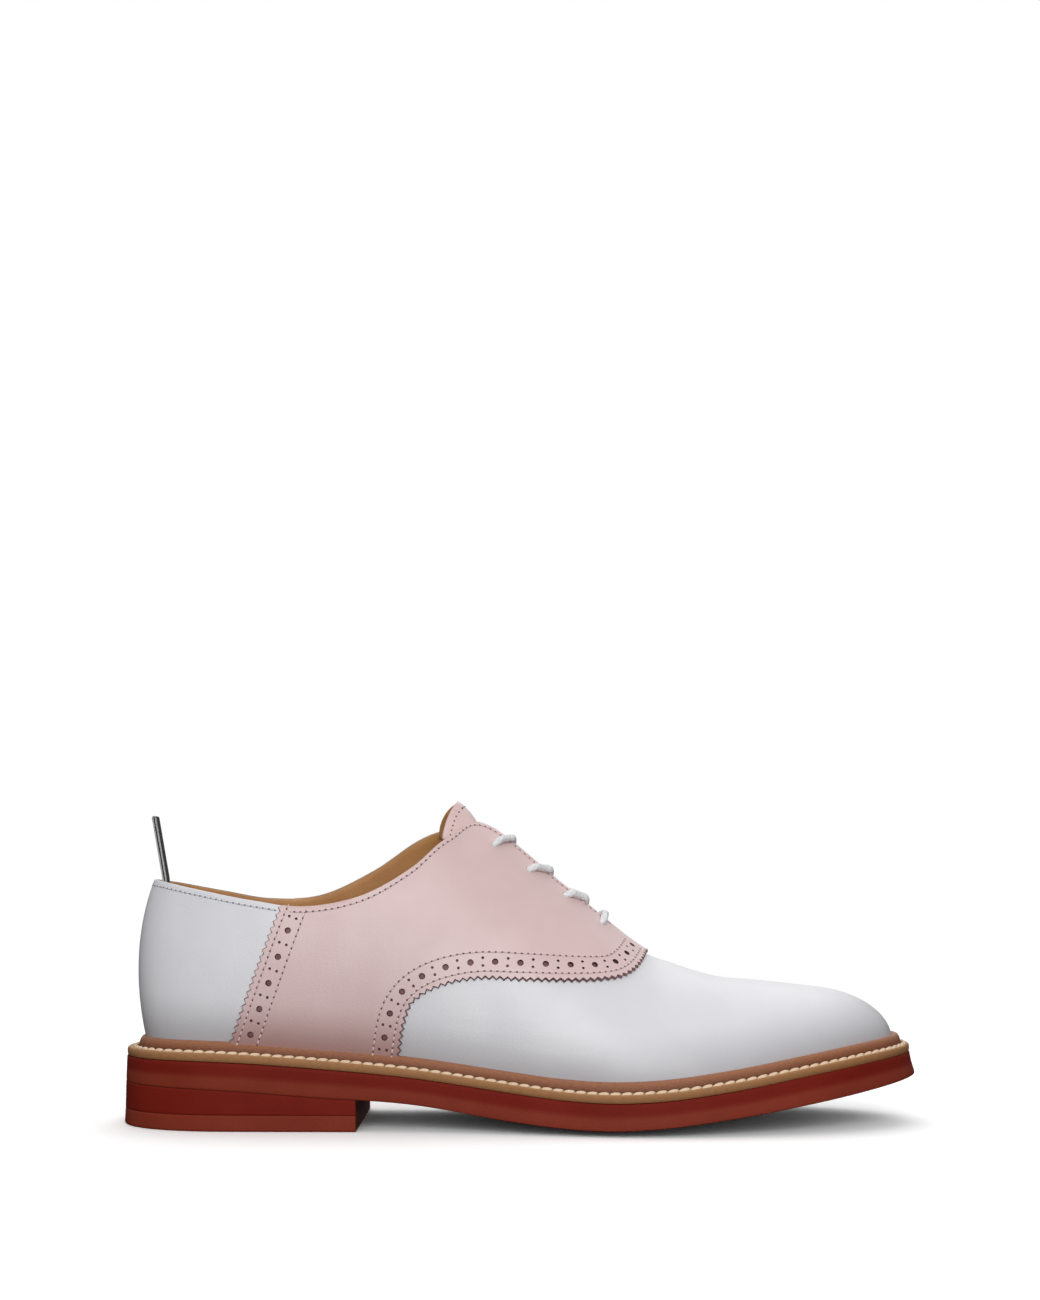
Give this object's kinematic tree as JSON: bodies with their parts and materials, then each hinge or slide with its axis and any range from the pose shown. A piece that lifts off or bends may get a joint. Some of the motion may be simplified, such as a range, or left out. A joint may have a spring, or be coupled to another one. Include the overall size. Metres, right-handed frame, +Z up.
{
  "type": "saddle shoe",
  "caption": "Lace-up leather saddle shoe for the right foot, with a pink saddle over a white upper, a storm welt and a red rubber sole with a low heel, standing empty.",
  "frame": {"origin": "centre of the sole's length and width, on the floor it stands on", "axes": "+X to the toe, +Y to the inner side of the foot, +Z up"},
  "size_m": [0.304, 0.1048, 0.1228],
  "materials": {
    "red_rubber": "matte, lightly grained",
    "dark_red_rubber": "matte",
    "tan_welt": "smooth, waxed edge",
    "insole_leather": "smooth, natural tan",
    "white_leather": "smooth, soft sheen",
    "pink_leather": "smooth, soft sheen",
    "lace_cotton": "round braided cotton",
    "ribbon": "ribbed grosgrain"
  },
  "bodies": {
    "root": {"heel_top_piece": "red_rubber", "heel_block": "dark_red_rubber", "outsole": "red_rubber", "welt": "tan_welt", "insole": "insole_leather", "upper": "white_leather", "saddle": "pink_leather", "tongue": "pink_leather", "lace_cross_1": "lace_cotton", "lace_cross_2": "lace_cotton", "lace_cross_3": "lace_cotton", "lace_bar": "lace_cotton", "pull_loop": "ribbon"}
  },
  "joints": []
}
